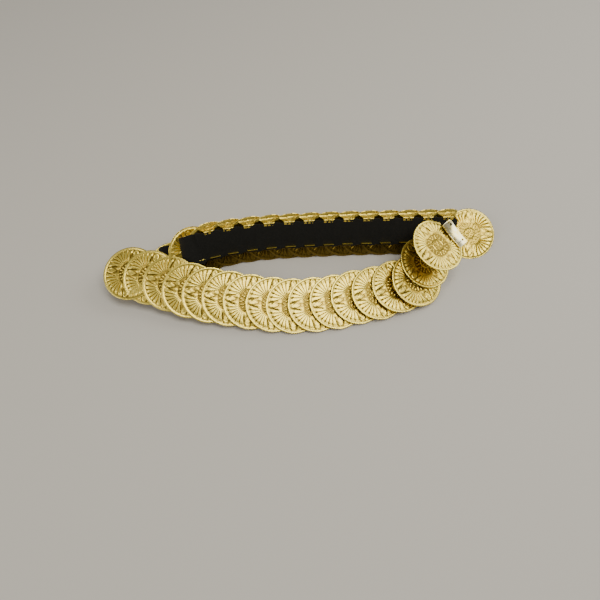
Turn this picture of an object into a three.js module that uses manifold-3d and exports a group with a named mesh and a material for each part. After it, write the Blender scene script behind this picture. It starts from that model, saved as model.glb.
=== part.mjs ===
// A stretch coin belt: a ring of overlapping stamped metal discs on a black
// elastic band, joined at one end by a small clasp plate. The closed loop lies
// on a flat surface, its front run nearly flat and its back run on edge.
// Millimetres, +Z up. The origin is the middle of the footprint, on the floor.
import * as THREE from 'three';
import { mergeVertices } from 'three/addons/utils/BufferGeometryUtils.js';
import Module from 'manifold-3d';

const wasm = await Module();
wasm.setup();

// ---- driving dimensions ----------------------------------------------------
const DISC_RADIUS = 22.5;
const DISC_SIDES = 20;
const SHEET = 0.6; // thickness of the stamped metal
const RIM_WIDTH = 1.6;
const RIM_RISE = 0.35;
const BOSS_RADIUS = 3.4;
const BOSS_SIDES = 6;
const TAB_WIDTH = 8.2;
const TAB_SHIFT = 3.6; // the tabs sit a little ahead of the disc's middle
const TAB_ROOT = 18.9; // distance of the tab's root from the disc's middle
const TAB_KNEE = 17.0; // where the tab has passed the neighbouring disc
const TAB_TURN = 14.2; // where the tab turns flat, just outside the band's edge
const TAB_END = 9.6; // free end of the tab
const SLIT = 0.35; // width of the cut around a tab
const WINDOW_END = 7.6; // inner end of the opening that the tab leaves
const BAND_WIDTH = 26;
const BAND_THICKNESS = 1;
const CLEARANCE = 0.35;
const EASY_GIVE = 7.5; // degrees between an evenly shingled disc and the band
const MOST_GIVE = 11; // beyond this the band bends between the discs instead
const SHALLOW_SEAT = 2; // least depth kept free for the neighbouring disc
const FOLD_BULGE = 7; // how far the folded band bulges past its two layers
const FOLD_STEPS = 7;
const CLASP_LENGTH = 22.5;
const CLASP_WIDTH = 9.6;
const CLASP_THICKNESS = 1;
const CLASP_ARCH = 0.9; // sag of the plate's middle along its length
const CLASP_AT = { u: 22.4, v: -1.2, n: 2.4 }; // plate's middle, seen from the last disc
const CLASP_TURN = -12; // degrees that the plate is turned on that disc
const CLASP_HOLE_RADIUS = 0.95;
const CLASP_HOLE_SPACING = 17;
const CLASP_HOLE_EDGE = 2.2; // from the holes' middles to the plate's outer edge
const FRONT_TRIM = 17.6; // chord that trims the front run's end disc
const BACK_TRIM = -8.6; // chord that trims the back run's first disc
const CLASP_TRIM = 21.4; // chord that trims the clasp disc
const FLOOR_SINK = 0.22; // how far a resting edge is worn flat by the floor plane
const SHORTEST_EDGE = 0.01; // shorter edges left by trimming are merged away

// ---- how the belt lies -----------------------------------------------------
// Belt stations in the direction of travel, seen from above anticlockwise.
// disc: number along the belt; x, y: middle of the disc; heading: direction of
// travel; lean: top away from the loop (+) or into it (-), from upright;
// rake: slope of the disc against the level, so that each laps over the last;
// height: height of the disc's middle, or 0 where the disc rests on the floor.
const STATIONS = [
  { disc: 1, x: 121.5, y: 54, heading: 181, lean: 24, rake: 7.5, height: 0 },
  { disc: 2, x: 105.2, y: 53.8, heading: 180, lean: 22, rake: 7.5, height: 0 },
  { disc: 3, x: 88.8, y: 53.5, heading: 180, lean: 21, rake: 7.5, height: 0 },
  { disc: 4, x: 72.5, y: 53.1, heading: 180, lean: 21, rake: 7.5, height: 0 },
  { disc: 5, x: 56.3, y: 52.7, heading: 180.5, lean: 21, rake: 7.5, height: 0 },
  { disc: 6, x: 40.2, y: 52.1, heading: 181, lean: 21, rake: 7.5, height: 0 },
  { disc: 7, x: 24, y: 51.4, heading: 182, lean: 21, rake: 7.5, height: 0 },
  { disc: 8, x: 7.8, y: 50.6, heading: 183, lean: 21, rake: 7.5, height: 0 },
  { disc: 9, x: -8.4, y: 49.6, heading: 184, lean: 21, rake: 7.5, height: 0 },
  { disc: 10, x: -24.7, y: 48.2, heading: 186, lean: 21, rake: 7.5, height: 0 },
  { disc: 11, x: -41.2, y: 46.2, heading: 188, lean: 21.5, rake: 8.5, height: 0 },
  { disc: 12, x: -57.7, y: 43.4, heading: 190, lean: 23, rake: 11, height: 0 },
  { disc: 13, x: -73.6, y: 39.5, heading: 193, lean: 27, rake: 17, height: 0 },
  { disc: 14, x: -88.5, y: 34.5, heading: 196, lean: 42, rake: 29, height: 0 },
  { disc: 15, x: -104, y: 27.5, heading: 198, lean: 73, rake: 15, height: 0 },
  { disc: 16, x: -121, y: 24, heading: 188, lean: 84, rake: 7, height: 0 },
  { disc: 17, x: -138.5, y: 22.5, heading: 180, lean: 86, rake: 5, height: 0 },
  { disc: 18, x: -138.4, y: 15.7, heading: 350, lean: -75, rake: 0, height: 17.2 },
  { disc: 19, x: -121.5, y: 11.6, heading: 346, lean: -70, rake: 4, height: 17.6 },
  { disc: 20, x: -104.5, y: 5.8, heading: 343, lean: -67, rake: 8, height: 17.2 },
  { disc: 21, x: -88.3, y: 0.4, heading: 344, lean: -68, rake: 12, height: 15.8 },
  { disc: 22, x: -72.3, y: -2.9, heading: 348, lean: -69, rake: 13, height: 14 },
  { disc: 23, x: -56.5, y: -5.1, heading: 351, lean: -70, rake: 12.5, height: 12.4 },
  { disc: 24, x: -39.6, y: -7.4, heading: 352, lean: -71, rake: 11.5, height: 11.2 },
  { disc: 25, x: -21.4, y: -9.4, heading: 355, lean: -72, rake: 10, height: 10.4 },
  { disc: 26, x: -5.2, y: -10, heading: 0, lean: -72, rake: 8, height: 0 },
  { disc: 27, x: 12.3, y: -8.8, heading: 6, lean: -72, rake: 7.5, height: 0 },
  { disc: 28, x: 29.7, y: -6.3, heading: 10, lean: -72, rake: 7.5, height: 0 },
  { disc: 29, x: 46.7, y: -1.9, heading: 13, lean: -72, rake: 7.5, height: 0 },
  { disc: 30, x: 63.6, y: 1.7, heading: 16, lean: -73, rake: 7.5, height: 0 },
  { disc: 31, x: 80.6, y: 7.5, heading: 22, lean: -76, rake: 5.5, height: 10.6 },
  { disc: 32, x: 96.1, y: 12.2, heading: 36, lean: -69, rake: 5, height: 12.6 },
  { disc: 33, x: 104.1, y: 27.4, heading: 50, lean: -71, rake: 4, height: 15.2 },
  { disc: 34, x: 111.3, y: 33.2, heading: 44, lean: -73, rake: 7, height: 32 },
];
const CLASP_STATION = { x: 149.3, y: 61.5, heading: 180, lean: 66, rake: 4, height: 0 };
const FOLD_AFTER = 17; // the band folds back on itself after this disc
const UNTABBED = 34; // the clasp plate holds the last disc
// The band's two ends: beside the clasp disc, and below the clasp plate.
const TAIL = { x: 130.4, y: 50, z: 20, heading: 181, lean: 29 };
const TIP = { x: 119, y: 42, z: 17, heading: 48, lean: -72 };

// ---- finishes --------------------------------------------------------------
const GOLD = { color: 0xd9c676, metalness: 1, roughness: 0.32 };
const PLATE = { color: 0xefe2a0, metalness: 1, roughness: 0.15 };
const ELASTIC = { color: 0x141414, metalness: 0, roughness: 0.9 };

// ---- placing ---------------------------------------------------------------
const radians = THREE.MathUtils.degToRad;

// along: direction of travel, up: across the band, out: outward normal.
function axes(row, rake) {
  const heading = radians(row.heading);
  const lean = radians(row.lean);
  const travel = new THREE.Vector3(Math.cos(heading), Math.sin(heading), 0);
  const outward = new THREE.Vector3(Math.sin(heading), -Math.cos(heading), 0);
  const up = new THREE.Vector3(0, 0, Math.cos(lean)).addScaledVector(outward, Math.sin(lean));
  const normal = travel.clone().cross(up);
  const along = travel
    .clone()
    .multiplyScalar(Math.cos(radians(rake)))
    .addScaledVector(normal, -Math.sin(radians(rake)));
  return { along, up, out: along.clone().cross(up) };
}

// A disc in place. give: angle at which the band leaves the disc's own plane;
// seat: depth of the band's middle below the disc; drop: depth of the tabs.
function placeDisc(row, tabbed, give) {
  const frame = axes(row, row.rake);
  const angle = radians(give);
  const seat = Math.max(DISC_RADIUS * Math.sin(angle), SHALLOW_SEAT) + SHEET / 2 + CLEARANCE + BAND_THICKNESS / 2;
  const drop = tabbed ? seat + BAND_THICKNESS / 2 + CLEARANCE + SHEET / 2 : 0;
  const slope = Math.tan(angle);
  const apothem = DISC_RADIUS * Math.cos(Math.PI / DISC_SIDES);
  let lowest = -apothem * Math.sqrt(1 - frame.out.z ** 2);
  if (tabbed) {
    for (const u of [TAB_SHIFT - TAB_WIDTH / 2, TAB_SHIFT + TAB_WIDTH / 2]) {
      for (const v of [-TAB_TURN, -TAB_END, TAB_END, TAB_TURN]) {
        const n = slope * u - drop - SHEET / 2;
        lowest = Math.min(lowest, u * frame.along.z + v * frame.up.z + n * frame.out.z);
      }
    }
  }
  const middle = new THREE.Vector3(row.x, row.y, row.height || -lowest - FLOOR_SINK);
  return { row, middle, give, seat, drop, slope, ...frame };
}

// The angle between a disc's plane and the run of the belt past it.
function giveAt(places, k) {
  const here = places[k];
  const before = places[k - 1]?.row.disc === FOLD_AFTER ? here : places[k - 1] ?? here;
  const after = here.row.disc === FOLD_AFTER ? here : places[k + 1] ?? here;
  const run = after.middle.clone().sub(before.middle);
  const angle = THREE.MathUtils.radToDeg(Math.atan2(run.dot(here.out), run.dot(here.along)));
  return Math.min(angle, MOST_GIVE);
}

function placeMatrix(place) {
  return new THREE.Matrix4().makeBasis(place.along, place.up, place.out).setPosition(place.middle);
}

// ---- solids ----------------------------------------------------------------
function toSolid(geometry) {
  const plain = geometry.clone();
  plain.deleteAttribute('normal');
  plain.deleteAttribute('uv');
  const merged = mergeVertices(plain, 1e-4);
  return new wasm.Manifold(
    new wasm.Mesh({
      numProp: 3,
      vertProperties: new Float32Array(merged.attributes.position.array),
      triVerts: new Uint32Array(merged.index.array),
    }),
  );
}

function toGeometry(solid) {
  const mesh = solid.getMesh();
  const geometry = new THREE.BufferGeometry();
  geometry.setAttribute('position', new THREE.BufferAttribute(mesh.vertProperties, 3));
  geometry.setIndex(new THREE.BufferAttribute(mesh.triVerts, 1));
  geometry.computeVertexNormals();
  return geometry;
}

function polygon(radius, sides) {
  const points = [];
  for (let k = 0; k < sides; k += 1) {
    const a = ((k + 0.5) / sides) * 2 * Math.PI - Math.PI / 2;
    points.push(new THREE.Vector2(radius * Math.cos(a), radius * Math.sin(a)));
  }
  return points;
}

function plate(outline, holes, from, to) {
  const shape = new THREE.Shape(outline);
  for (const hole of holes) shape.holes.push(new THREE.Path(hole));
  const geometry = new THREE.ExtrudeGeometry(shape, { depth: to - from, bevelEnabled: false });
  geometry.translate(0, 0, from);
  return toSolid(geometry);
}

// The opening that a lanced tab leaves; side is +1 at the top, -1 below.
function tabWindow(side) {
  const left = TAB_SHIFT - TAB_WIDTH / 2 - SLIT;
  const right = TAB_SHIFT + TAB_WIDTH / 2 + SLIT;
  const outer = TAB_ROOT - SHEET / 2;
  const points = [
    new THREE.Vector2(left, side * WINDOW_END),
    new THREE.Vector2(right, side * WINDOW_END),
    new THREE.Vector2(right, side * outer),
    new THREE.Vector2(left, side * outer),
  ];
  return side > 0 ? points : points.reverse();
}

// A tab bent inward past the neighbouring disc and over the band's edge.
function tab(side, drop, slope, grow) {
  const half = SHEET / 2 + grow;
  const width = TAB_WIDTH + 2 * grow;
  const knee = drop * 0.65;
  const profile = new THREE.Shape([
    new THREE.Vector2(TAB_ROOT + grow, half),
    new THREE.Vector2(TAB_ROOT - SHEET - grow, half),
    new THREE.Vector2(TAB_KNEE - SHEET - grow, half - knee),
    new THREE.Vector2(TAB_TURN - half, half - drop),
    new THREE.Vector2(TAB_END - grow, half - drop),
    new THREE.Vector2(TAB_END - grow, -half - drop),
    new THREE.Vector2(TAB_TURN + grow, -half - drop),
    new THREE.Vector2(TAB_KNEE + grow, -half - knee),
    new THREE.Vector2(TAB_ROOT + grow, -half),
  ]);
  const geometry = new THREE.ExtrudeGeometry(profile, { depth: width, bevelEnabled: false });
  const position = geometry.attributes.position;
  for (let i = 0; i < position.count; i += 1) {
    const v = position.getX(i);
    const n = position.getY(i);
    const u = TAB_SHIFT + side * (position.getZ(i) - width / 2);
    const share = THREE.MathUtils.clamp((TAB_ROOT - SHEET - v) / (TAB_ROOT - SHEET - TAB_TURN), 0, 1);
    position.setXYZ(i, u, side * v, n + share * slope * u);
  }
  return toSolid(geometry);
}

// A block that covers everything beyond a chord across the disc.
function chordBlock(chord) {
  const size = 4 * DISC_RADIUS;
  const block = new THREE.BoxGeometry(size, size, size);
  block.translate(chord + (Math.sign(chord) * size) / 2, 0, 0);
  return toSolid(block);
}

function moved(solid, matrix) {
  return toSolid(toGeometry(solid).applyMatrix4(matrix));
}

const floorBlock = toSolid(new THREE.BoxGeometry(600, 600, 50).translate(0, 0, -25));

function discSolid(place, chord) {
  const outline = polygon(DISC_RADIUS, DISC_SIDES);
  const windows = place.drop > 0 ? [tabWindow(1), tabWindow(-1)] : [];
  let solid = plate(outline, windows, -SHEET / 2, SHEET / 2);
  solid = solid.add(plate(outline, [polygon(DISC_RADIUS - RIM_WIDTH, DISC_SIDES)], 0, SHEET / 2 + RIM_RISE));
  solid = solid.add(plate(polygon(BOSS_RADIUS, BOSS_SIDES), [], 0, SHEET / 2 + RIM_RISE));
  if (place.drop > 0) {
    solid = solid.add(tab(1, place.drop, place.slope, 0)).add(tab(-1, place.drop, place.slope, 0));
  }
  if (chord) solid = solid.subtract(chordBlock(chord));
  solid = moved(solid, placeMatrix(place));
  return place.row.height > 0 ? solid : solid.subtract(floorBlock);
}

// The room a disc needs: its body with the clearance all round.
function discRoom(place, chord) {
  let solid = plate(polygon(DISC_RADIUS + CLEARANCE, DISC_SIDES), [], -SHEET / 2 - CLEARANCE, SHEET / 2 + RIM_RISE + CLEARANCE);
  if (chord) solid = solid.subtract(chordBlock(chord + Math.sign(chord) * CLEARANCE));
  if (place.drop > 0) {
    solid = solid.add(tab(1, place.drop, place.slope, CLEARANCE)).add(tab(-1, place.drop, place.slope, CLEARANCE));
  }
  return moved(solid, placeMatrix(place));
}

function claspSolid(place, grow) {
  const across = CLASP_WIDTH + 2 * grow;
  const along = CLASP_LENGTH + 2 * grow;
  const geometry = new THREE.BoxGeometry(across, along, CLASP_THICKNESS + 2 * grow, 1, 8, 1);
  const position = geometry.attributes.position;
  for (let i = 0; i < position.count; i += 1) {
    const share = (2 * position.getY(i)) / CLASP_LENGTH;
    position.setZ(i, position.getZ(i) + CLASP_ARCH * (share * share - 0.5));
  }
  let solid = toSolid(geometry);
  for (const end of grow > 0 ? [] : [-1, 1]) {
    const drill = new THREE.CylinderGeometry(CLASP_HOLE_RADIUS, CLASP_HOLE_RADIUS, 8, 10);
    drill.rotateX(Math.PI / 2);
    drill.translate(CLASP_WIDTH / 2 - CLASP_HOLE_EDGE, (end * CLASP_HOLE_SPACING) / 2, 0);
    solid = solid.subtract(toSolid(drill));
  }
  const local = new THREE.Matrix4().makeRotationZ(radians(CLASP_TURN));
  local.setPosition(CLASP_AT.u, CLASP_AT.v, CLASP_AT.n);
  return moved(solid, placeMatrix(place).multiply(local));
}

// ---- the elastic band ------------------------------------------------------
// A box bent along a row of band stations: x runs along, y across, z through.
function bandSolid(stations, grow) {
  const last = stations.length - 1;
  const geometry = new THREE.BoxGeometry(last, BAND_WIDTH + 2 * grow, BAND_THICKNESS + 2 * grow, last, 1, 1);
  const position = geometry.attributes.position;
  for (let i = 0; i < position.count; i += 1) {
    const k = Math.round(position.getX(i) + last / 2);
    const before = stations[Math.max(k - 1, 0)].point;
    const here = stations[k].point;
    const after = stations[Math.min(k + 1, last)].point;
    const tangent = new THREE.Vector3();
    if (k > 0) tangent.add(here.clone().sub(before).normalize());
    if (k < last) tangent.add(after.clone().sub(here).normalize());
    tangent.normalize();
    const up = stations[k].up.clone().normalize();
    const out = tangent.clone().cross(up).normalize();
    const point = here
      .clone()
      .addScaledVector(up, position.getY(i))
      .addScaledVector(out, position.getZ(i));
    position.setXYZ(i, point.x, point.y, point.z);
  }
  return toSolid(geometry);
}

// The band's direction where it passes under a disc's tabs.
function bandTravel(place) {
  const angle = radians(place.give);
  return place.along.clone().multiplyScalar(Math.cos(angle)).addScaledVector(place.out, Math.sin(angle));
}

// The two ends of the stretch of band under a disc's tabs.
function bandStations(place) {
  const under = place.middle.clone().addScaledVector(place.out, -place.seat);
  return [-1, 1].map((end) => ({
    point: under.clone().addScaledVector(bandTravel(place), TAB_SHIFT + end * (TAB_WIDTH / 2 + 0.3)),
    up: place.up,
  }));
}

// The band's turn back on itself, between two stations that it nearly touches.
function foldStations(from, fromTravel, to, toTravel) {
  const curve = new THREE.CubicBezierCurve3(
    from.point,
    from.point.clone().addScaledVector(fromTravel, FOLD_BULGE),
    to.point.clone().addScaledVector(toTravel, -FOLD_BULGE),
    to.point,
  );
  const margin = (2.3 * CLEARANCE) / (3 * FOLD_BULGE);
  const row = [];
  for (let k = 0; k <= FOLD_STEPS; k += 1) {
    const t = THREE.MathUtils.lerp(margin, 1 - margin, k / FOLD_STEPS);
    row.push({ point: curve.getPoint(t), up: from.up.clone().lerp(to.up, t) });
  }
  return row;
}

// ---- assembly --------------------------------------------------------------
const rough = STATIONS.map((row) => placeDisc(row, row.disc !== UNTABBED, EASY_GIVE));
const discs = STATIONS.map((row, k) => placeDisc(row, row.disc !== UNTABBED, giveAt(rough, k)));
const first = discs[0];
const last = discs[discs.length - 1];
const claspPlace = placeDisc(CLASP_STATION, false, EASY_GIVE);

const backTail = { point: new THREE.Vector3(TAIL.x, TAIL.y, TAIL.z), up: axes(TAIL, 0).up };
const frontTip = { point: new THREE.Vector3(TIP.x, TIP.y, TIP.z), up: axes(TIP, 0).up };
const backRun = discs.filter((place) => place.row.disc <= FOLD_AFTER);
const frontRun = discs.filter((place) => place.row.disc > FOLD_AFTER && place.row.disc !== UNTABBED);
const backRow = backRun.flatMap(bandStations);
const backHalfway = {
  point: backTail.point.clone().lerp(backRow[0].point, 0.5),
  up: backTail.up.clone().lerp(backRow[0].up, 0.5),
};
const backBand = [backTail, backHalfway, ...backRow];
const frontBand = [...frontRun.flatMap(bandStations), frontTip];
const foldFrom = backRun[backRun.length - 1];
const foldTo = frontRun[0];
const foldBand = foldStations(backBand[backBand.length - 1], bandTravel(foldFrom), frontBand[0], bandTravel(foldTo));

// The pieces, the one that keeps its shape first: each later piece is cut back
// wherever it would come closer than the clearance to an earlier one.
const pieces = [{ name: 'clasp_plate', look: PLATE, solid: claspSolid(last, 0), room: claspSolid(last, CLEARANCE) }];
for (const place of [...discs].reverse()) {
  const chord = place === first ? BACK_TRIM : place === last ? FRONT_TRIM : 0;
  const name = `disc_${String(place.row.disc).padStart(2, '0')}`;
  pieces.push({ name, look: GOLD, solid: discSolid(place, chord), room: discRoom(place, chord) });
}
pieces.push({
  name: 'clasp_disc',
  look: GOLD,
  solid: discSolid(claspPlace, CLASP_TRIM),
  room: discRoom(claspPlace, CLASP_TRIM),
});
for (const [name, stations] of [['elastic_front', frontBand], ['elastic_fold', foldBand], ['elastic_back', backBand]]) {
  pieces.push({ name, look: ELASTIC, solid: bandSolid(stations, 0), room: bandSolid(stations, CLEARANCE) });
}

function biggest(solid) {
  return solid.decompose().reduce((a, b) => (a.volume() > b.volume() ? a : b));
}

// The same solid with its shortest edges drawn together into points.
function welded(solid) {
  const mesh = solid.getMesh();
  const corner = (i) => new THREE.Vector3().fromArray(mesh.vertProperties, i * mesh.numProp);
  const owner = Array.from({ length: mesh.numVert }, (_, i) => i);
  const ownerOf = (i) => (owner[i] === i ? i : ownerOf(owner[i]));
  const triangles = [];
  for (let t = 0; t < mesh.numTri; t += 1) triangles.push([...mesh.triVerts.slice(3 * t, 3 * t + 3)]);
  for (const [a, b, c] of triangles) {
    for (const [from, to] of [[a, b], [b, c], [c, a]]) {
      if (corner(from).distanceTo(corner(to)) < SHORTEST_EDGE) owner[ownerOf(from)] = ownerOf(to);
    }
  }
  const kept = triangles.map((triangle) => triangle.map(ownerOf)).filter((triangle) => new Set(triangle).size === 3);
  return new wasm.Manifold(
    new wasm.Mesh({ numProp: mesh.numProp, vertProperties: mesh.vertProperties, triVerts: new Uint32Array(kept.flat()) }),
  );
}

pieces.forEach((piece, k) => {
  for (const earlier of pieces.slice(0, k)) {
    if (piece.solid.minGap(earlier.solid, CLEARANCE) < CLEARANCE - 0.05) {
      piece.solid = biggest(piece.solid.subtract(earlier.room));
    }
  }
  piece.solid = welded(piece.solid);
});

const loop = new THREE.Group();
for (const piece of pieces) {
  const mesh = new THREE.Mesh(toGeometry(piece.solid), new THREE.MeshStandardMaterial(piece.look));
  mesh.name = piece.name;
  loop.add(mesh);
}
const footprint = new THREE.Box3().setFromObject(loop).getCenter(new THREE.Vector3());
loop.position.set(-footprint.x, -footprint.y, 0);

export default loop;
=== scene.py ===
import math

import bmesh
import bpy
from mathutils import Matrix, Vector


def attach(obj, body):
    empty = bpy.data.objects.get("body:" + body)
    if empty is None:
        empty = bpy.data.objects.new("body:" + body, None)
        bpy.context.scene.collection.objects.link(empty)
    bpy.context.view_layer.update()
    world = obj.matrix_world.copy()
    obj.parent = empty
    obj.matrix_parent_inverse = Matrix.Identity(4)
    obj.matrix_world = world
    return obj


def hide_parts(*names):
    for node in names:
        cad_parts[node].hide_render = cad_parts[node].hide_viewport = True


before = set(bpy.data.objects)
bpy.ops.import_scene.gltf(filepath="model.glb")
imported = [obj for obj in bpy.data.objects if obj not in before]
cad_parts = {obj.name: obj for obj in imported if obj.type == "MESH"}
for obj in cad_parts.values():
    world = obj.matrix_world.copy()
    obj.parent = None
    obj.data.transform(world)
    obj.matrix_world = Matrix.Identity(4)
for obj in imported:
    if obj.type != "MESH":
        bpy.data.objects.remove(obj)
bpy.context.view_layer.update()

MILLIMETRE = 0.001

# ---- camera ----------------------------------------------------------------
lens = bpy.data.cameras.new("camera")
lens.lens = 27
lens.sensor_width = 36
lens.clip_start = 0.01
camera = bpy.data.objects.new("camera", lens)
camera.location = (-0.00529, -0.20164, 0.3316)
camera.rotation_euler = (math.radians(28), 0, 0)
bpy.context.scene.collection.objects.link(camera)
bpy.context.scene.camera = camera

# ---- the belt's measures ---------------------------------------------------
DISC_RADIUS = 22.5
DISC_SIDES = 20  # sides of the disc's solid, whose flats it rests on
PLATE_SHEET = 0.3  # half of the flat plate that the run of discs is spaced for
STAMPED_SHEET = 0.45  # thickness of the stamped metal
FACE = 0.1  # height of the outer face above the disc's middle plane
BAND_WIDTH = 26
BAND_THICKNESS = 1
BAND_WALL = 0.9  # thickness of the woven sheet itself
CLEARANCE = 0.35
SLACK = {14: 2.5, 15: 2}  # how far the band hangs off a disc near the fold
EASY_GIVE = 7.5  # degrees that the band turns against a disc on a straight run
MOST_GIVE = 11
SHALLOW_SEAT = 2  # least depth left under a disc for its edge to dip towards the band
FOLD_BULGE = 7
FOLD_AFTER = 17  # last disc of the back run
UNTABBED = 34  # the front end's disc, which the clasp plate holds
UNHOOKED = (14, 15)  # discs turned so far that they hold the band from below only
FRONT_TRIM = 17.6  # chords at which three discs are cut straight
BACK_TRIM = -8.6
CLASP_TRIM = 21.4
FLOOR_SINK = 0.22
HOOK_MIDDLE = 3.6  # where a disc's tabs hold the band, along the band
HOOK_REACH = 4.4
SOLID_HOOK_REACH = 4.1  # and the corners of the tabs of the disc's solid
SOLID_HOOK_EDGES = (-14.2, -9.6, 9.6, 14.2)
BELT_SHIFT = Vector((-5.2924, -25.3399, 0))  # from the stations' origin to the frame's

# Tabs: tongues bent inward from each disc's back and hooked round the band,
# whose middle runs a little above the discs' own middles.
TAB_WIDTH = 8.4
TAB_SHIFT = 0.8
BAND_RISE = 4.4
BAND_TILT = 3.5  # degrees that the band leans away from the discs at its top
TAB_COLUMNS = 12
TOP_ROOT = 19.9
TOP_ROOT_WIDTH = 14.5
TOP_OVERLAP = 2.4
LOW_ROOT = -12.2
LOW_OVERLAP = 3.2
LIP = 2.8  # how far a lower tab's free end curls off the band
TAB_DROP = 3.6  # where the teardrop's middle lies, down the top tab

# disc, x, y, heading, lean, rake, height of its middle (0: rests on the floor)
STATIONS = (
    (1, 121.5, 54, 181, 24, 7.5, 0), (2, 105.2, 53.8, 180, 22, 7.5, 0),
    (3, 88.8, 53.5, 180, 21, 7.5, 0), (4, 72.5, 53.1, 180, 21, 7.5, 0),
    (5, 56.3, 52.7, 180.5, 21, 7.5, 0), (6, 40.2, 52.1, 181, 21, 7.5, 0),
    (7, 24, 51.4, 182, 21, 7.5, 0), (8, 7.8, 50.6, 183, 21, 7.5, 0),
    (9, -8.4, 49.6, 184, 21, 7.5, 0), (10, -24.7, 48.2, 186, 21, 7.5, 0),
    (11, -41.2, 46.2, 188, 21.5, 8.5, 0), (12, -57.7, 43.4, 190, 23, 11, 0),
    (13, -73.6, 39.5, 193, 27, 17, 0), (14, -88.5, 34.5, 196, 42, 29, 0),
    (15, -104, 27.5, 198, 73, 15, 0), (16, -121, 24, 188, 84, 7, 0),
    (17, -138.5, 22.5, 180, 86, 5, 0), (18, -138.4, 15.7, 350, -75, 0, 17.2),
    (19, -121.5, 11.6, 346, -70, 4, 17.6), (20, -104.5, 5.8, 343, -67, 8, 17.2),
    (21, -88.3, 0.4, 344, -68, 12, 15.8), (22, -72.3, -2.9, 348, -69, 13, 14),
    (23, -56.5, -5.1, 351, -70, 12.5, 12.4), (24, -39.6, -7.4, 352, -71, 11.5, 11.2),
    (25, -21.4, -9.4, 355, -72, 10, 10.4), (26, -5.2, -10, 0, -72, 8, 0),
    (27, 12.3, -8.8, 6, -72, 7.5, 0), (28, 29.7, -6.3, 10, -72, 7.5, 0),
    (29, 46.7, -1.9, 13, -72, 7.5, 0), (30, 63.6, 1.7, 16, -73, 7.5, 0),
    (31, 80.6, 7.5, 22, -76, 5.5, 10.6), (32, 96.1, 12.2, 36, -69, 5, 12.6),
    (33, 104.1, 27.4, 50, -71, 4, 15.2), (34, 111.3, 33.2, 44, -73, 7, 32),
)
CLASP_STATION = (35, 149.3, 61.5, 180, 66, 4, 0)
TAIL = ((130.4, 50, 20), 181, 29)  # place, heading and lean of the band's end
TIP = ((119, 42, 17), 48, -72)


# ---- placing ---------------------------------------------------------------
def belt_axes(heading, lean, rake):
    """The disc's direction of travel, its direction across the band, and out."""
    turn, tilt, slope = map(math.radians, (heading, lean, rake))
    travel = Vector((math.cos(turn), math.sin(turn), 0))
    outward = Vector((math.sin(turn), -math.cos(turn), 0))
    up = Vector((0, 0, math.cos(tilt))) + outward * math.sin(tilt)
    along = travel * math.cos(slope) - travel.cross(up) * math.sin(slope)
    return along, up, along.cross(up)


class Place:
    """Where one disc lies, and how deep the band runs below it."""

    def __init__(self, station, tabbed, give):
        self.disc, x, y, heading, lean, rake, height = station
        self.tabbed, self.give = tabbed, give
        self.along, self.up, self.out = belt_axes(heading, lean, rake)
        angle = math.radians(give)
        seat = max(DISC_RADIUS * math.sin(angle), SHALLOW_SEAT)
        self.seat = seat + PLATE_SHEET + CLEARANCE + BAND_THICKNESS / 2
        self.drop = self.seat + BAND_THICKNESS / 2 + CLEARANCE + PLATE_SHEET
        self.slope = math.tan(angle)
        self.middle = Vector((x, y, height or self.resting_height()))

    def resting_height(self):
        """Height of the middle at which the disc's solid just touches the floor."""
        apothem = DISC_RADIUS * math.cos(math.pi / DISC_SIDES)
        lowest = -apothem * math.sqrt(1 - self.out.z**2)
        if self.tabbed:
            for u in (HOOK_MIDDLE - SOLID_HOOK_REACH, HOOK_MIDDLE + SOLID_HOOK_REACH):
                for v in SOLID_HOOK_EDGES:
                    n = self.slope * u - self.drop - PLATE_SHEET
                    corner = u * self.along.z + v * self.up.z + n * self.out.z
                    lowest = min(lowest, corner)
        return -lowest - FLOOR_SINK

    def matrix(self):
        """Takes a disc drawn flat, in millimetres, to its place in metres."""
        rows = zip(self.along, self.up, self.out, self.middle + BELT_SHIFT)
        return Matrix.Scale(MILLIMETRE, 4) @ Matrix([*map(list, rows), [0, 0, 0, 1]])

    def band_travel(self):
        """The way the band runs under the disc."""
        angle = math.radians(self.give)
        return self.along * math.cos(angle) + self.out * math.sin(angle)


def settle(stations):
    """Places the discs twice: first evenly, then with each one's own give."""
    rough = [Place(s, s[0] != UNTABBED, EASY_GIVE) for s in stations]
    places = []
    for k, (station, here) in enumerate(zip(stations, rough)):
        alone_before = k == 0 or rough[k - 1].disc == FOLD_AFTER
        alone_after = k == len(rough) - 1 or here.disc == FOLD_AFTER
        before = here if alone_before else rough[k - 1]
        after = here if alone_after else rough[k + 1]
        run = after.middle - before.middle
        give = math.degrees(math.atan2(run.dot(here.out), run.dot(here.along)))
        places.append(Place(station, here.disc != UNTABBED, min(give, MOST_GIVE)))
    return places


def smooth(low, high, x):
    """Rises from 0 at low to 1 at high, level at both."""
    t = min(max((x - low) / (high - low), 0), 1)
    return t * t * (3 - 2 * t)


def mix(a, b, t):
    return a + (b - a) * t


# ---- the stamped rosette ---------------------------------------------------
# Four teardrops on the disc's axes, a fan of seven flutes between each two, two
# beaded rings round a small flower in the middle, and a plain raised rim.
RINGS = (
    0, 0.8, 1.5, 2.3, 3.1, 3.8, 4.5, 5.2, 5.9, 6.6, 7.4, 8.1, 8.7, 9.4, 10.3, 11.2,
    12.2, 13.3, 14.5, 15.6, 16.7, 17.8, 18.7, 19.5, 20.1, 20.7, 21.1, 21.8, 22.3, 22.5,
)
RELIEF_DEPTH = 0.85  # share of the drawn relief that is really pressed up
TONE_FLOOR, TONE_SPAN = 0.2, 0.6  # painted shade in the grooves: depth below the ground that is darkest, and range
INNER_TONE, INNER_SPAN = 0.2, 0.7  # the painted shade in the sheet's grooves is lighter on its other side
BELOW_BAND_SHADE_FROM, BELOW_BAND_SHADE_TO, BELOW_BAND_SHADE_TONE = 7, 11, 0.15  # painted shade on inner faces, below the middle
QUARTER_LINES = 52  # lines of the mesh in a quarter turn
DROP_LINES = 5  # of them on each side of a teardrop's axis
FLUTE_LINES = 6  # and across each flute
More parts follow.
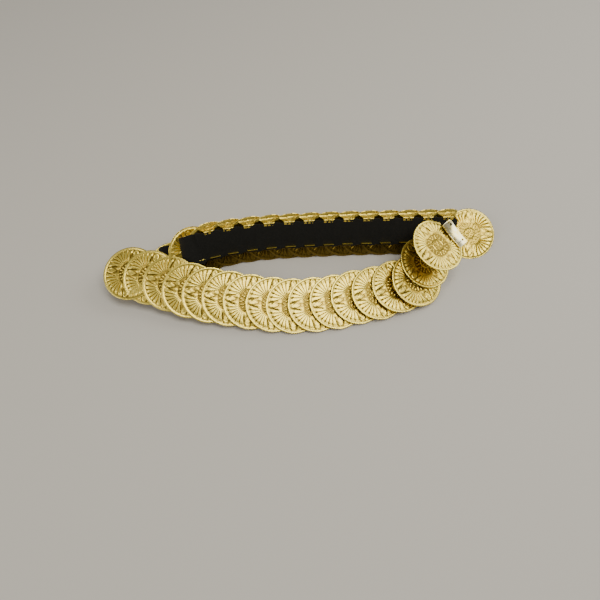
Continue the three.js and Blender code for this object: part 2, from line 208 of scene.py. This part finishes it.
FLUTES = 7
FLUTE_EDGE = 0.34  # where a flute starts to fall, as a share of its pitch
GROOVE = 0.3
FLUTE_SPREAD = 16.5  # degrees between flutes, seen from the fan's focus
FOCUS = 8.0
FAN_START = 10.2
FLUTE_END = 20.0
DROP_MIDDLE = 16.5
DROP_LENGTH = 3.6
DROP_EDGES = (0, 0.8, 1.6, 2.2)  # mesh lines beside a teardrop's axis
BUTTON_RADIUS, BUTTON_DEGREES = 11.6, 15.5  # a ringed button beside each teardrop
BEADS_END = 9.9
FLOWER_END = 5.1
RIM_PROFILE = (
    (20.1, -0.2), (20.7, 0.1), (21.1, 0.4), (21.8, 0.42), (22.3, 0.36), (22.5, 0.15),
)


def fan_ray(degrees, radius):
    """Angle at which a ray from the fan's focus crosses a circle."""
    a = math.radians(degrees)
    reach = math.sqrt(radius**2 - (FOCUS * math.sin(a)) ** 2) - FOCUS * math.cos(a)
    return math.degrees(math.atan2(reach * math.sin(a), FOCUS + reach * math.cos(a)))


def line_angle(line, radius):
    """Angle of a mesh line in its quarter, at this distance from the middle."""
    even = 90 * line / QUARTER_LINES
    if radius < 9:
        return even
    flute = (line - QUARTER_LINES / 2) / FLUTE_LINES
    if abs(flute) <= FLUTES / 2:
        ray = 45 + fan_ray(flute * FLUTE_SPREAD, radius)
    else:
        edge = 45 - fan_ray(FLUTES / 2 * FLUTE_SPREAD, radius)
        step = min(line, QUARTER_LINES - line)
        offsets = [math.degrees(math.asin(w / radius)) for w in DROP_EDGES]
        offsets += [(offsets[3] + edge) / 2, edge]
        ray = min(offsets[step], edge * (0.7 + 0.06 * step)) if step < DROP_LINES else edge
        if line > QUARTER_LINES / 2:
            ray = 90 - ray
    return mix(even, ray, smooth(9, 11.5, radius))


def bump(x, middle, half):
    """A rounded ridge one high."""
    return max(0.0, 1 - ((x - middle) / half) ** 2)


def teardrop(along, across):
    """Double outline of a teardrop whose round end points to the rim."""
    half = mix(1.2, 2.25, smooth(12.6, 18, along))
    d = math.hypot(across / half, (along - DROP_MIDDLE) / DROP_LENGTH)
    if d > 1.45:
        return None
    ridge = 0.44 * bump(d, 0.86, 0.24)
    seed = 0.4 * bump(d, 0, 0.5)
    return ridge + seed - 0.2 * bump(d, 1.2, 0.25)


def relief(radius, degrees, line):
    """Height of the stamped face over its ground."""
    if radius >= RIM_PROFILE[0][0]:
        for (r0, h0), (r1, h1) in zip(RIM_PROFILE, RIM_PROFILE[1:]):
            if radius <= r1 + 1e-6:
                return mix(h0, h1, (radius - r0) / (r1 - r0))
    from_axis = (degrees + 45) % 90 - 45
    a = math.radians(from_axis)
    if radius > 11.5:
        drop = teardrop(radius * math.cos(a), radius * math.sin(a))
        if drop is not None:
            return drop
    height = 0.0
    if radius > FAN_START:
        flute = (line - QUARTER_LINES / 2) / FLUTE_LINES
        if abs(flute) <= FLUTES / 2:
            across = abs(flute - round(flute))
            end = FLUTE_END - 1.2 * across * across * 4
            body = mix(0.4, 0.5, smooth(0, 0.2, across)) * (1 - smooth(FLUTE_EDGE, 0.5, across))
            fade = smooth(FAN_START, 12.4, radius) * (1 - 0.75 * smooth(end - 1.6, end, radius))
            height = body * fade - GROOVE * smooth(FLUTE_EDGE, 0.5, across)
    if 9 < radius < 14:
        for side in (-1, 1):
            spot = math.radians(side * BUTTON_DEGREES)
            d = math.hypot(
                radius * math.cos(a) - BUTTON_RADIUS * math.cos(spot),
                radius * math.sin(a) - BUTTON_RADIUS * math.sin(spot),
            )
            if d < 1.7:
                height = 0.4 * bump(d, 1.05, 0.5) + 0.3 * bump(d, 0, 0.6)
    turn = math.radians(degrees)
    if 5 < radius <= BEADS_END:
        inner = max(0, math.cos(12 * turn)) * bump(radius, 6.3, 0.95)
        outer = max(0, math.cos(20 * turn + math.pi)) * bump(radius, 8.3, 1.1)
        height = 0.42 * inner + 0.42 * outer - 0.12
    if radius <= FLOWER_END:
        flower = 0.34 * max(0, math.cos(6 * turn)) * bump(radius, 2.3, 1.3)
        height = max(flower, 0.4 * bump(radius, 4.5, 0.6), 0.42 * bump(radius, 0, 0.9)) - 0.1
    return height


def stamped_sheet():
    """The rosette as one open sheet: a radius spun round, then raised."""
    bm = bmesh.new()
    spokes = [bm.verts.new((r, 0, 0)) for r in RINGS]
    edges = [bm.edges.new(pair) for pair in zip(spokes, spokes[1:])]
    bmesh.ops.spin(
        bm, geom=spokes + edges, cent=(0, 0, 0), axis=(0, 0, 1),
        angle=2 * math.pi, steps=4 * QUARTER_LINES, use_merge=True,
    )
    bmesh.ops.remove_doubles(bm, verts=bm.verts, dist=1e-5)
    tone = bm.verts.layers.float.new("relief")
    for v in bm.verts:
        radius = v.co.xy.length
        line = round(math.degrees(math.atan2(v.co.y, v.co.x)) % 360 / 90 * QUARTER_LINES)
        quarter, line = divmod(line, QUARTER_LINES)
        degrees = 90 * quarter + line_angle(line, radius)
        a = math.radians(degrees)
        height = relief(radius, degrees, line)
        v.co = (radius * math.cos(a), radius * math.sin(a), FACE + RELIEF_DEPTH * height)
        # painted shade: the lower the stamping, the darker its colour
        v[tone] = min(max((height + TONE_FLOOR) / TONE_SPAN, 0), 1)
    bmesh.ops.recalc_face_normals(bm, faces=bm.faces)
    if sum(f.normal.z for f in bm.faces) < 0:
        bmesh.ops.reverse_faces(bm, faces=bm.faces)
    return bm


def give_wall(bm, wall):
    """Turns an open sheet into metal or cloth of this thickness."""
    bm.normal_update()
    inward = bm.verts.layers.float_vector.new("inward")
    tone = bm.verts.layers.float.get("relief")
    for v in bm.verts:
        v[inward] = -wall * v.normal
    made = bmesh.ops.extrude_face_region(bm, geom=bm.faces[:], use_keep_orig=True)
    for v in made["geom"]:
        if isinstance(v, bmesh.types.BMVert):
            v.co += v[inward]
            if tone is not None:
                # painted shade in the grooves of the other side, lighter than on the face
                v[tone] = INNER_TONE + INNER_SPAN * v[tone]
    bm.verts.layers.float_vector.remove(inward)
    bmesh.ops.recalc_face_normals(bm, faces=bm.faces)


def absorb(bm, extra):
    """Adds one mesh to another."""
    mesh = bpy.data.meshes.new("extra")
    extra.to_mesh(mesh)
    extra.free()
    bm.from_mesh(mesh)
    bpy.data.meshes.remove(mesh)


# ---- tabs ------------------------------------------------------------------
def tab_profile(side, seat, lip):
    """Points down a tab's outer face, from its root on the disc to its free end."""
    tilt = math.radians(BAND_TILT)
    edge = BAND_RISE + side * (BAND_WIDTH / 2 + CLEARANCE + 0.3) * math.cos(tilt)
    depth = -seat - side * BAND_WIDTH / 2 * math.sin(tilt)
    depth = depth - BAND_THICKNESS / 2 - CLEARANCE
    overlap = TOP_OVERLAP if side > 0 else LOW_OVERLAP
    root = TOP_ROOT if side > 0 else LOW_ROOT
    corners = [
        Vector((root, FACE - 0.2)), Vector((edge + side * 0.7, depth * 0.35)),
        Vector((edge + side * 0.1, depth)), Vector((edge - side * overlap, depth)),
    ]
    if lip:
        corners.append(corners[-1] + Vector((-side * 0.5, -lip)))
    points = []
    for start, end in zip(corners, corners[1:]):
        points += [start.lerp(end, k / 5) for k in range(5)]
    points.append(corners[-1])
    for _ in range(3):  # rounds the bends
        inner = [(a + 2 * b + c) / 4 for a, b, c in zip(points, points[1:], points[2:])]
        points = [points[0], *inner, points[-1]]
    return points


def add_tab(bm, side, seat, slope, lip):
    """A hooked tongue that carries its share of the stamped face."""
    points = tab_profile(side, seat, lip)
    last = len(points) - 1
    sheet = bmesh.new()
    bmesh.ops.create_grid(sheet, x_segments=TAB_COLUMNS, y_segments=last, size=0.5)
    tone = sheet.verts.layers.float.new("relief")
    lengths = [0.0]
    for a, b in zip(points, points[1:]):
        lengths.append(lengths[-1] + (b - a).length)
    for v in sheet.verts:
        row = round((v.co.y + 0.5) * last)
        width = TAB_WIDTH
        if side > 0:
            width = mix(TOP_ROOT_WIDTH, TAB_WIDTH, smooth(0.1, 0.7, row / last))
        u = TAB_SHIFT + v.co.x * width
        run = (points[min(row + 1, last)] - points[max(row - 1, 0)]).normalized()
        normal = Vector((-run.y, run.x)) * -side
        stamped = side > 0 and row < last - 2
        motif = teardrop(DROP_MIDDLE + TAB_DROP - lengths[row], u) if stamped else None
        height = 0.8 * motif if motif is not None else 0.0
        at = points[row] + normal * height
        share = min(max((points[0].y - at.y) / (points[0].y - points[-1].y), 0), 1)
        v.co = (u, at.x, at.y + share * slope * u)
        # painted shade in the teardrop's grooves on the top tab
        v[tone] = min(max((height + 0.25) / 0.5, 0), 1)
        if side < 0:  # the lower tab is painted shade, with a painted highlight towards its free end
            v[tone] = smooth(last - 6, last - 4, row)
    bmesh.ops.recalc_face_normals(sheet, faces=sheet.faces)
    free = min(sheet.faces, key=lambda f: f.calc_center_median().z)
    if free.normal.z > 0:
        bmesh.ops.reverse_faces(sheet, faces=sheet.faces)
    give_wall(sheet, STAMPED_SHEET)
    absorb(bm, sheet)


# ---- finishes --------------------------------------------------------------
class Finish:
    """A node material, with short calls for the nodes it uses."""

    def __init__(self, name):
        self.material = bpy.data.materials.new(name)
        self.material.use_nodes = True
        self.tree = self.material.node_tree
        self.shader = self.tree.nodes["Principled BSDF"]

    def node(self, kind, **settings):
        made = self.tree.nodes.new(kind)
        for name, value in settings.items():
            if name in made.inputs:
                made.inputs[name].default_value = value
            else:
                setattr(made, name, value)
        return made

    def join(self, source, target):
        self.tree.links.new(source, target)

    def ramp(self, source, *stops):
        ramp = self.node("ShaderNodeValToRGB")
        elements = ramp.color_ramp.elements
        while len(elements) < len(stops):
            elements.new(0.5)
        for element, (place, color) in zip(elements, stops):
            element.position = place
            element.color = (*color, 1)
        self.join(source, ramp.inputs["Fac"])
        return ramp.outputs["Color"]

    def noise(self, place, scale, detail=3, rough=0.5):
        noise = self.node("ShaderNodeTexNoise")
        noise.inputs["Scale"].default_value = scale
        noise.inputs["Detail"].default_value = detail
        noise.inputs["Roughness"].default_value = rough
        self.join(place, noise.inputs["Vector"])
        return noise.outputs["Fac"]

    def blend(self, kind, share, a, b):
        blend = self.node("ShaderNodeMix", data_type="RGBA", blend_type=kind)
        for name, value in (("Factor", share), ("A", a), ("B", b)):
            sockets = [s for s in blend.inputs if s.name == name and s.enabled]
            if hasattr(value, "is_linked"):
                self.join(value, sockets[0])
            else:
                sockets[0].default_value = value
        return [s for s in blend.outputs if s.enabled][0]

    def range(self, source, low, high, to_low, to_high):
        span = self.node("ShaderNodeMapRange")
        names = ("From Min", "From Max", "To Min", "To Max")
        for name, value in zip(names, (low, high, to_low, to_high)):
            span.inputs[name].default_value = value
        self.join(source, span.inputs["Value"])
        return span.outputs["Result"]

    def bump(self, height, strength, distance):
        bump = self.node("ShaderNodeBump")
        bump.inputs["Strength"].default_value = strength
        bump.inputs["Distance"].default_value = distance
        self.join(height, bump.inputs["Height"])
        self.join(bump.outputs["Normal"], self.shader.inputs["Normal"])

    def place(self):
        return self.node("ShaderNodeTexCoord").outputs["Object"]


def gold_finish():
    """Pale brass plating, with painted shade in the grooves of the stamping, on the inner faces
    below the band and on the lower tabs, and a painted highlight at the lower tabs' free ends.
    """
    finish = Finish("gold")
    shader = finish.shader
    shader.inputs["Metallic"].default_value = 1
    place = finish.place()
    tone = finish.node("ShaderNodeAttribute", attribute_name="relief").outputs["Fac"]
    # painted shade: dark brown where the stamping is low, full gold where it is high
    stamped = finish.ramp(
        tone, (0.0, (0.07, 0.045, 0.006)), (0.2, (0.30, 0.21, 0.04)),
        (0.4, (0.76, 0.57, 0.095)), (0.85, (0.96, 0.79, 0.17)),
    )
    patches = finish.range(finish.noise(place, 90, 4, 0.6), 0.3, 0.7, 0.0, 0.3)
    color = finish.blend("MULTIPLY", patches, stamped, (0.86, 0.76, 0.58, 1))
    finish.join(color, shader.inputs["Base Color"])
    grain = finish.noise(place, 1400, 3, 0.6)
    finish.join(finish.range(grain, 0.3, 0.7, 0.28, 0.4), shader.inputs["Roughness"])
    finish.bump(grain, 0.15, 0.00008)
    return finish.material


def plate_finish():
    """Smooth bright brass with faint rubbing marks."""
    finish = Finish("clasp_plate_brass")
    shader = finish.shader
    shader.inputs["Metallic"].default_value = 1
    place = finish.place()
    rubbed = finish.noise(place, 260, 5, 0.65)
    color = finish.ramp(rubbed, (0.38, (0.98, 0.80, 0.26)), (0.55, (1.0, 0.93, 0.62)))
    finish.join(color, shader.inputs["Base Color"])
    finish.join(finish.range(rubbed, 0.3, 0.7, 0.10, 0.22), shader.inputs["Roughness"])
    finish.bump(rubbed, 0.2, 0.0002)
    return finish.material


def elastic_finish():
    """Black woven elastic: fine ribs across the band on a matte thread."""
    finish = Finish("black_elastic")
    shader = finish.shader
    shader.inputs["Roughness"].default_value = 0.88
    shader.inputs["Sheen Weight"].default_value = 0.08
    shader.inputs["Sheen Roughness"].default_value = 0.5
    shader.inputs["Specular IOR Level"].default_value = 0.15
    weave = finish.node("ShaderNodeUVMap", uv_map="weave").outputs["UV"]
    ribs = finish.node("ShaderNodeTexWave", wave_type="BANDS", bands_direction="X")
    ribs.inputs["Scale"].default_value = 0.31
    ribs.inputs["Distortion"].default_value = 0.4
    ribs.inputs["Detail"].default_value = 1
    finish.join(weave, ribs.inputs["Vector"])
    cords = finish.node("ShaderNodeTexWave", wave_type="BANDS", bands_direction="Y")
    cords.inputs["Scale"].default_value = 0.42
    finish.join(weave, cords.inputs["Vector"])
    cloth = finish.blend("MULTIPLY", 0.6, ribs.outputs["Color"], cords.outputs["Color"])
    lint = finish.noise(finish.place(), 700, 3, 0.6)
    thread = finish.ramp(lint, (0.3, (0.008, 0.008, 0.0072)), (0.75, (0.015, 0.015, 0.0135)))
    share = finish.range(cloth, 0, 1, 0.0, 0.3)
    color = finish.blend("MIX", share, thread, (0.013, 0.013, 0.0125, 1))
    finish.join(color, shader.inputs["Base Color"])
    finish.bump(cloth, 0.5, 0.00025)
    return finish.material


def floor_finish():
    """A plain pale matte floor."""
    finish = Finish("floor")
    finish.shader.inputs["Base Color"].default_value = (0.62, 0.60, 0.57, 1)
    finish.shader.inputs["Roughness"].default_value = 0.75
    return finish.material


# ---- making the pieces -----------------------------------------------------
def put(bm, name):
    """Puts a mesh in the scene as it is."""
    mesh = bpy.data.meshes.new(name)
    bm.to_mesh(mesh)
    bm.free()
    made = bpy.data.objects.new(name, mesh)
    bpy.context.scene.collection.objects.link(made)
    return made


def show(bm, name, material, slot, *nodes, matrix, angle=40):
    """Puts a finished mesh in its place as a piece of the belt."""
    bmesh.ops.transform(bm, matrix=matrix, verts=bm.verts)
    for v in bm.verts:  # nothing reaches into the floor
        v.co.z = max(v.co.z, 0)
    piece = put(bm, name)
    mesh = piece.data
    for polygon in mesh.polygons:
        polygon.use_smooth = True
    mesh.set_sharp_from_angle(angle=math.radians(angle))
    mesh.materials.append(material)
    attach(piece, "root")
    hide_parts(*nodes)
    return piece


def trim(bm, chord):
    """Cuts a disc off straight beyond a chord."""
    everything = [*bm.verts, *bm.edges, *bm.faces]
    side = math.copysign(1, chord)
    bmesh.ops.bisect_plane(
        bm, geom=everything, dist=1e-4, plane_co=(chord, 0, 0),
        plane_no=(side, 0, 0), clear_outer=True,
    )


def make_disc(sheet, place, gold, chord):
    """A stamped disc with its tabs, cut off at a chord if it has one."""
    bm = sheet.copy()
    if chord:
        trim(bm, chord)
    give_wall(bm, STAMPED_SHEET)
    if place.disc <= FOLD_AFTER:
        tone = bm.verts.layers.float.get("relief")
        for v in bm.verts:
            if v.normal.z < 0:  # painted shade: the inner face is darker below the band
                v[tone] *= mix(1, BELOW_BAND_SHADE_TONE, smooth(BELOW_BAND_SHADE_FROM, BELOW_BAND_SHADE_TO, -v.co.y))
    if place.tabbed:
        tabs = bmesh.new()
        for side in (-1,) if place.disc in UNHOOKED else (1, -1):
            lip = LIP if side < 0 and place.disc <= FOLD_AFTER else 0
            add_tab(tabs, side, place.seat, place.slope, lip)
        if chord:
            trim(tabs, chord)
        absorb(bm, tabs)
    coin, node = f"coin_{place.disc:02d}", f"disc_{place.disc:02d}"
    show(bm, coin, gold, "gold", node, matrix=place.matrix())


# ---- the elastic -----------------------------------------------------------
PATH_STEPS = 6  # rows of the weave between two stations
BAND_COLUMNS = 12
FOLD_STEPS = 8
HEM = 0.2  # how far the drawn edge stays inside the band's width
EDGE_BOW, FACE_SWELL = 0.9, 0.25  # how far the band swells between two tabs
RIPPLE, RIPPLE_PITCH = 0.12, 2.7


def band_points(places):
    """Stations of the band: the point in its middle and its way across."""
    stations = []
    for place in places:
        depth = place.seat + SLACK.get(place.disc, 0)
        under = place.middle - place.out * depth + place.up * BAND_RISE
        tilt = math.radians(BAND_TILT)
        across = place.up * math.cos(tilt) - place.out * math.sin(tilt)
        for end in (-1, 1):
            reach = HOOK_MIDDLE + end * HOOK_REACH
            stations.append((under + place.band_travel() * reach, across))
    return stations


def end_station(row):
    """One of the band's two ends, as a station."""
    point, heading, lean = row
    up = belt_axes(heading, lean, 0)[1]
    return Vector(point) + up * BAND_RISE * 0.5, up


def fold_points(start, start_travel, end, end_travel):
    """Stations of the turn between the back run and the front run."""
    a, d = start[0], end[0]
    b, c = a + start_travel * FOLD_BULGE, d - end_travel * FOLD_BULGE
    stations = []
    for k in range(1, FOLD_STEPS):
        t = k / FOLD_STEPS
        point = a * (1 - t) ** 3 + b * 3 * t * (1 - t) ** 2 + c * 3 * t * t * (1 - t) + d * t**3
        stations.append((point, start[1].lerp(end[1], t)))
    return stations


def smooth_path(stations):
    """A curve through the stations, with its across vector carried along."""
    points = [p for p, _ in stations]
    padded = [2 * points[0] - points[1], *points, 2 * points[-1] - points[-2]]
    path = []
    for k in range(len(points) - 1):
        p0, p1, p2, p3 = padded[k : k + 4]
        for j in range(PATH_STEPS):
            t = j / PATH_STEPS
            point = 0.5 * (
                2 * p1 + (p2 - p0) * t + (2 * p0 - 5 * p1 + 4 * p2 - p3) * t * t
                + (3 * p1 - p0 - 3 * p2 + p3) * t**3
            )
            path.append((point, stations[k][1].lerp(stations[k + 1][1], t), k + t))
    path.append((points[-1], stations[-1][1], len(points) - 1))
    return path


def make_elastic(places, material):
    """The whole band as one woven sheet, bent along its path."""
    back = [p for p in places if p.disc <= FOLD_AFTER]
    front = [p for p in places if p.disc > FOLD_AFTER and p.tabbed]
    back_run = [end_station(TAIL), *band_points(back)]
    front_run = [*band_points(front), end_station(TIP)]
    fold = fold_points(
        back_run[-1], back[-1].band_travel(), front_run[0], front[0].band_travel()
    )
    path = smooth_path(back_run + fold + front_run)
    lengths = [0.0]
    for (a, *_), (b, *_) in zip(path, path[1:]):
        lengths.append(lengths[-1] + (b - a).length)
    rows = len(path) - 1
    bm = bmesh.new()
    bmesh.ops.create_grid(
        bm, x_segments=rows, y_segments=BAND_COLUMNS, size=0.5, calc_uvs=True
    )
    weave = bm.loops.layers.uv.new("weave")
    first_fold, last_fold = len(back_run) - 1, len(back_run) + len(fold)
    for v in bm.verts:
        k = round((v.co.x + 0.5) * rows)
        across = v.co.y * 2
        point, up, station = path[k]
        tangent = (path[min(k + 1, rows)][0] - path[max(k - 1, 0)][0]).normalized()
        up = up.normalized()
        out = tangent.cross(up).normalized()
        puff = 0.0
        if not first_fold < station < last_fold:
            # every second stretch lies between two tabs, where the edges bow out
            on_back = station < first_fold
            local = station if on_back else station - last_fold + 1
            if int(local) % 2 == (0 if on_back else 1):
                puff = abs(math.sin(math.pi * (local % 1)))
        width = BAND_WIDTH / 2 + EDGE_BOW * puff - HEM
        ripple = RIPPLE * math.sin(lengths[k] * 2 * math.pi / RIPPLE_PITCH) + FACE_SWELL * puff
        for face in v.link_loops:
            face[weave].uv = (lengths[k], across * BAND_WIDTH / 2)
        v.co = point + up * across * width - out * ripple
    bmesh.ops.recalc_face_normals(bm, faces=bm.faces)
    give_wall(bm, BAND_WALL)
    matrix = Matrix.Scale(MILLIMETRE, 4) @ Matrix.Translation(BELT_SHIFT)
    nodes = ("elastic_back", "elastic_fold", "elastic_front")
    piece = show(bm, "elastic_band", material, "elastic", *nodes, matrix=matrix, angle=60)


# ---- the clasp plate -------------------------------------------------------
CLASP_LENGTH, CLASP_WIDTH, CLASP_THICKNESS = 23.6, 10.1, 1.0
CLASP_ARCH = 1.3
CLASP_CUTS = 12
CLASP_AT = (19.2, -2.3, 2.6)  # on the front end's disc
CLASP_TURNS = (("Z", -2.7), ("Y", -5.1), ("X", 5.5))
HOLE_RADIUS, HOLE_INSET, HOLE_FROM_MIDDLE = 0.95, 2.9, 7.9


def make_clasp_plate(place, material):
    """A small bent plate with rounded corners and two holes."""
    length, width = CLASP_LENGTH, CLASP_WIDTH
    rounding = dict(affect="EDGES", profile=0.5, material=-1)
    bm = bmesh.new()
    bmesh.ops.create_cube(bm, size=1)
    bmesh.ops.scale(bm, vec=(width, length, CLASP_THICKNESS), verts=bm.verts)
    corners = [e for e in bm.edges if abs((e.verts[0].co - e.verts[1].co).z) > 0.5]
    bmesh.ops.bevel(bm, geom=corners, offset=1.0, segments=4, **rounding)
    rims = [e for e in bm.edges if len({round(v.co.z, 3) for v in e.verts}) == 1]
    bmesh.ops.bevel(bm, geom=rims, offset=0.3, segments=3, **rounding)
    for k in range(1, CLASP_CUTS):
        at = length * (k / CLASP_CUTS - 0.5)
        bmesh.ops.bisect_plane(
            bm, geom=[*bm.verts, *bm.edges, *bm.faces], dist=1e-4,
            plane_co=(0, at, 0), plane_no=(0, 1, 0),
        )
    for v in bm.verts:
        share = 2 * v.co.y / length
        v.co.z += CLASP_ARCH * (share * share - 0.5)
    local = Matrix.Translation(CLASP_AT)
    for axis, degrees in CLASP_TURNS:
        local = local @ Matrix.Rotation(math.radians(degrees), 4, axis)
    matrix = place.matrix() @ local
    blank = put(bm, "plate_blank")
    drills = []
    for end in (-1, 1):
        drill = bmesh.new()
        bmesh.ops.create_cone(
            drill, cap_ends=True, segments=32,
            radius1=HOLE_RADIUS, radius2=HOLE_RADIUS, depth=8,
        )
        spot = (width / 2 - HOLE_INSET, end * HOLE_FROM_MIDDLE, 0)
        bmesh.ops.translate(drill, vec=spot, verts=drill.verts)
        drills.append(put(drill, "drill"))
        cut = blank.modifiers.new("hole", "BOOLEAN")
        cut.operation, cut.object, cut.solver = "DIFFERENCE", drills[-1], "EXACT"
    graph = bpy.context.evaluated_depsgraph_get()
    drilled = bmesh.new()
    drilled.from_object(blank, graph)
    for extra in (blank, *drills):
        data = extra.data
        bpy.data.objects.remove(extra)
        bpy.data.meshes.remove(data)
    show(drilled, "smooth_clasp", material, "plate", "clasp_plate", matrix=matrix, angle=35)


# ---- assembly --------------------------------------------------------------
gold = gold_finish()
places = settle(STATIONS)
rosette = stamped_sheet()

for place in places:
    chord = {1: BACK_TRIM, UNTABBED: FRONT_TRIM}.get(place.disc, 0)
    make_disc(rosette, place, gold, chord)

clasp_place = Place(CLASP_STATION, False, EASY_GIVE)
clasp = rosette.copy()
trim(clasp, CLASP_TRIM)
give_wall(clasp, STAMPED_SHEET)
show(clasp, "clasp_coin", gold, "gold", "clasp_disc", matrix=clasp_place.matrix())
make_clasp_plate(places[-1], plate_finish())
make_elastic(places, elastic_finish())

# ---- floor and light -------------------------------------------------------
ground = bmesh.new()
bmesh.ops.create_grid(ground, x_segments=1, y_segments=1, size=3)
floor = put(ground, "floor")
floor.data.materials.append(floor_finish())

# name, place, aimed at, size across and along, watts, colour
LIGHTS = (
    ("overhead", (0.35, -0.1, 1.2), (0.05, 0, 0), 0.55, 1.0, 9.5, (1.0, 0.96, 0.84)),
    ("window", (1.15, 0.62, 0.85), (0.1, 0, 0), 0.9, 0.7, 6.5, (1.0, 0.98, 0.90)),
    ("fill", (-0.9, -0.5, 0.8), (0, 0, 0), 0.6, 0.6, 3.5, (1.0, 0.95, 0.86)),
)
for name, at, aim, wide, deep, watts, color in LIGHTS:
    lamp = bpy.data.lights.new(name, "AREA")
    lamp.shape = "RECTANGLE"
    lamp.size, lamp.size_y = wide, deep
    lamp.energy = watts
    lamp.color = color
    light = bpy.data.objects.new(name, lamp)
    light.location = at
    light.rotation_euler = (Vector(aim) - Vector(at)).to_track_quat("-Z", "Y").to_euler()
    bpy.context.scene.collection.objects.link(light)

world = bpy.data.worlds.new("studio")
world.use_nodes = True
surround = world.node_tree.nodes["Background"]
surround.inputs["Color"].default_value = (0.82, 0.78, 0.70, 1)
surround.inputs["Strength"].default_value = 0.3
bpy.context.scene.world = world
